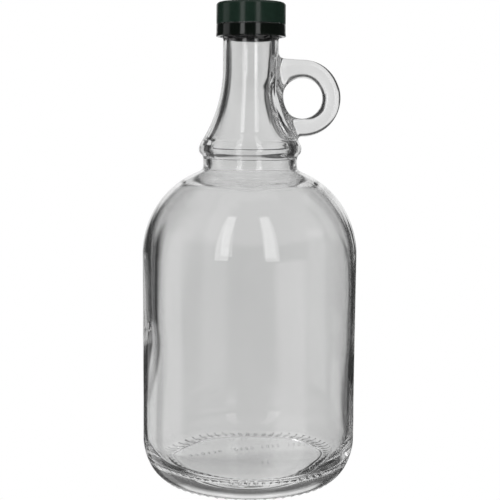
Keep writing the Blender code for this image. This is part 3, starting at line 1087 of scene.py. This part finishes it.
def feed(tree, socket, value):
    """Gives a socket a number or a link."""
    if isinstance(value, (int, float)):
        socket.default_value = value
    else:
        tree.links.new(value, socket)


def math_node(tree, operation, first, second=None):
    node = tree.nodes.new("ShaderNodeMath")
    node.operation = operation
    feed(tree, node.inputs[0], first)
    if second is not None:
        feed(tree, node.inputs[1], second)
    return node.outputs[0]


def mapped(tree, value, source, target, interpolation):
    """Maps one range of values to another."""
    node = tree.nodes.new("ShaderNodeMapRange")
    node.interpolation_type = interpolation
    names = ("From Min", "From Max", "To Min", "To Max")
    for name, amount in zip(names, (*source, *target)):
        node.inputs[name].default_value = amount
    tree.links.new(value, node.inputs["Value"])
    return node.outputs["Result"]


def smooth_range(tree, value, low, high, start, end):
    """Goes from start to end in an S-curve while the value goes from low to high."""
    return mapped(tree, value, (low, high), (start, end), "SMOOTHSTEP")


def aside_from(tree, compass, centre):
    """The angle between the compass direction and a centre, either way round."""
    turn = math_node(tree, "SUBTRACT", compass, radians(centre))
    return math_node(tree, "ARCCOSINE", math_node(tree, "COSINE", turn))


def tent_window(tree, aside, height, half_width, softness, lowest, highest):
    """How far a direction lies within a window, 0 to 1."""
    edge = radians(half_width)
    inside = smooth_range(tree, aside, edge, edge + radians(softness), 1.0, 0.0)
    if lowest > -1.0:
        above = smooth_range(tree, height, lowest - WINDOW_HEIGHT_EDGE, lowest, 0.0, 1.0)
        inside = math_node(tree, "MULTIPLY", inside, above)
    if highest < 1.0:
        below = smooth_range(tree, height, highest, highest + WINDOW_HEIGHT_EDGE, 1.0, 0.0)
        inside = math_node(tree, "MULTIPLY", inside, below)
    return inside


def tent(tree, direction):
    """A dark band at eye level with bright windows, between a bright sky and a bright ground."""
    parts = tree.nodes.new("ShaderNodeSeparateXYZ")
    tree.links.new(direction, parts.inputs[0])
    compass = math_node(tree, "ARCTAN2", parts.outputs["Y"], parts.outputs["X"])
    height = parts.outputs["Z"]
    open_share = 0.0
    for centre, *reach in WINDOWS:
        share = tent_window(tree, aside_from(tree, compass, centre), height, *reach)
        open_share = math_node(tree, "MAXIMUM", open_share, share)
    level = blended(tree, open_share, FLAG_LIGHT, WINDOW_LIGHT)
    aside = aside_from(tree, compass, BEHIND)
    dip = smooth_range(tree, aside, 0.0, radians(DIP_REACH), WINDOW_DIP, 1.0)
    level = math_node(tree, "MULTIPLY", level, dip)
    near, far = TOP_FLAG_SIDES
    top_flag = smooth_range(tree, aside, radians(near), radians(far), TOP_FLAG_LIGHT, ABOVE_LIGHT)
    level = blended(tree, smooth_range(tree, height, *TOP_FLAG_START, 0.0, 1.0), level, top_flag)
    level = blended(tree, smooth_range(tree, height, *CEILING_START, 0.0, 1.0), level, ABOVE_LIGHT)
    return blended(tree, smooth_range(tree, height, *GROUND_START, 1.0, 0.0), level, BELOW_LIGHT)


def blended(tree, factor, first, second):
    """Goes from first to second as the factor goes from 0 to 1."""
    mix = tree.nodes.new("ShaderNodeMix")
    for name, value in (("Factor", factor), ("A", first), ("B", second)):
        feed(tree, mix.inputs[name], value)
    return mix.outputs["Result"]


def seen_or_tent(tree, direction):
    """White to the camera, and the tent to the light that the object bends or reflects."""
    path = tree.nodes.new("ShaderNodeLightPath")
    return blended(tree, path.outputs["Is Camera Ray"], tent(tree, direction), STAGE_WHITE)


def build_world():
    world = bpy.data.worlds.new("studio")
    world.use_nodes = True
    tree = world.node_tree
    place = tree.nodes.new("ShaderNodeTexCoord")
    strength = seen_or_tent(tree, place.outputs["Generated"])
    tree.links.new(strength, tree.nodes["Background"].inputs["Strength"])
    tree.nodes["Background"].inputs["Color"].default_value = (1, 1, 1, 1)
    bpy.context.scene.world = world


def glowing(name, strength):
    """A material that gives plain white light."""
    material, tree, shader = new_material(name)
    tree.nodes.remove(shader)
    glow = tree.nodes.new("ShaderNodeEmission")
    glow.inputs["Strength"].default_value = strength
    tree.links.new(glow.outputs[0], tree.nodes["Material Output"].inputs["Surface"])
    return material


def build_floor():
    bpy.ops.mesh.primitive_circle_add(vertices=96, radius=FLOOR_SIZE, fill_type="NGON",
                                      location=(0, 0, STANDING * MM - FLOOR_DROP))
    floor = bpy.context.object
    floor.name = "floor"
    floor.data.materials.append(glowing("pale_floor", STAGE_WHITE))
    floor.visible_transmission = False
    floor.visible_glossy = False


def build_softbox(name, turn):
    """A tall upright strip light that faces the jug, turned in degrees from the camera's side."""
    angle = radians(turn)
    middle = (sin(angle) * SOFTBOX_DISTANCE, -cos(angle) * SOFTBOX_DISTANCE,
              (SOFTBOX_BOTTOM + SOFTBOX_TOP) / 2)
    bpy.ops.mesh.primitive_plane_add(size=1.0, location=middle, rotation=(pi / 2, 0, angle))
    panel = bpy.context.object
    panel.name = name
    panel.scale = (SOFTBOX_WIDTH, SOFTBOX_TOP - SOFTBOX_BOTTOM, 1)
    panel.data.materials.append(glowing(name, SOFTBOX_LIGHT))
    panel.visible_camera = False


def build_camera():
    data = bpy.data.cameras.new("camera")
    data.lens = LENS
    data.sensor_width = SENSOR
    data.clip_start = 0.01
    camera = bpy.data.objects.new("camera", data)
    camera.location = (CAMERA_ASIDE, -CAMERA_DISTANCE, CAMERA_HEIGHT)
    camera.rotation_euler = (pi / 2 - CAMERA_TILT, CAMERA_ROLL, 0)
    bpy.context.scene.collection.objects.link(camera)
    bpy.context.scene.camera = camera


def build_stage():
    build_world()
    build_floor()
    for name, turn in SOFTBOXES:
        build_softbox(name, turn)
    build_camera()
    scene = bpy.context.scene
    scene.view_settings.view_transform = "Standard"
    scene.cycles.max_bounces = LIGHT_BOUNCES
    scene.cycles.transmission_bounces = LIGHT_BOUNCES
    scene.cycles.glossy_bounces = LIGHT_BOUNCES


build_glass()
build_cap()
build_band()
build_liner()
build_stage()
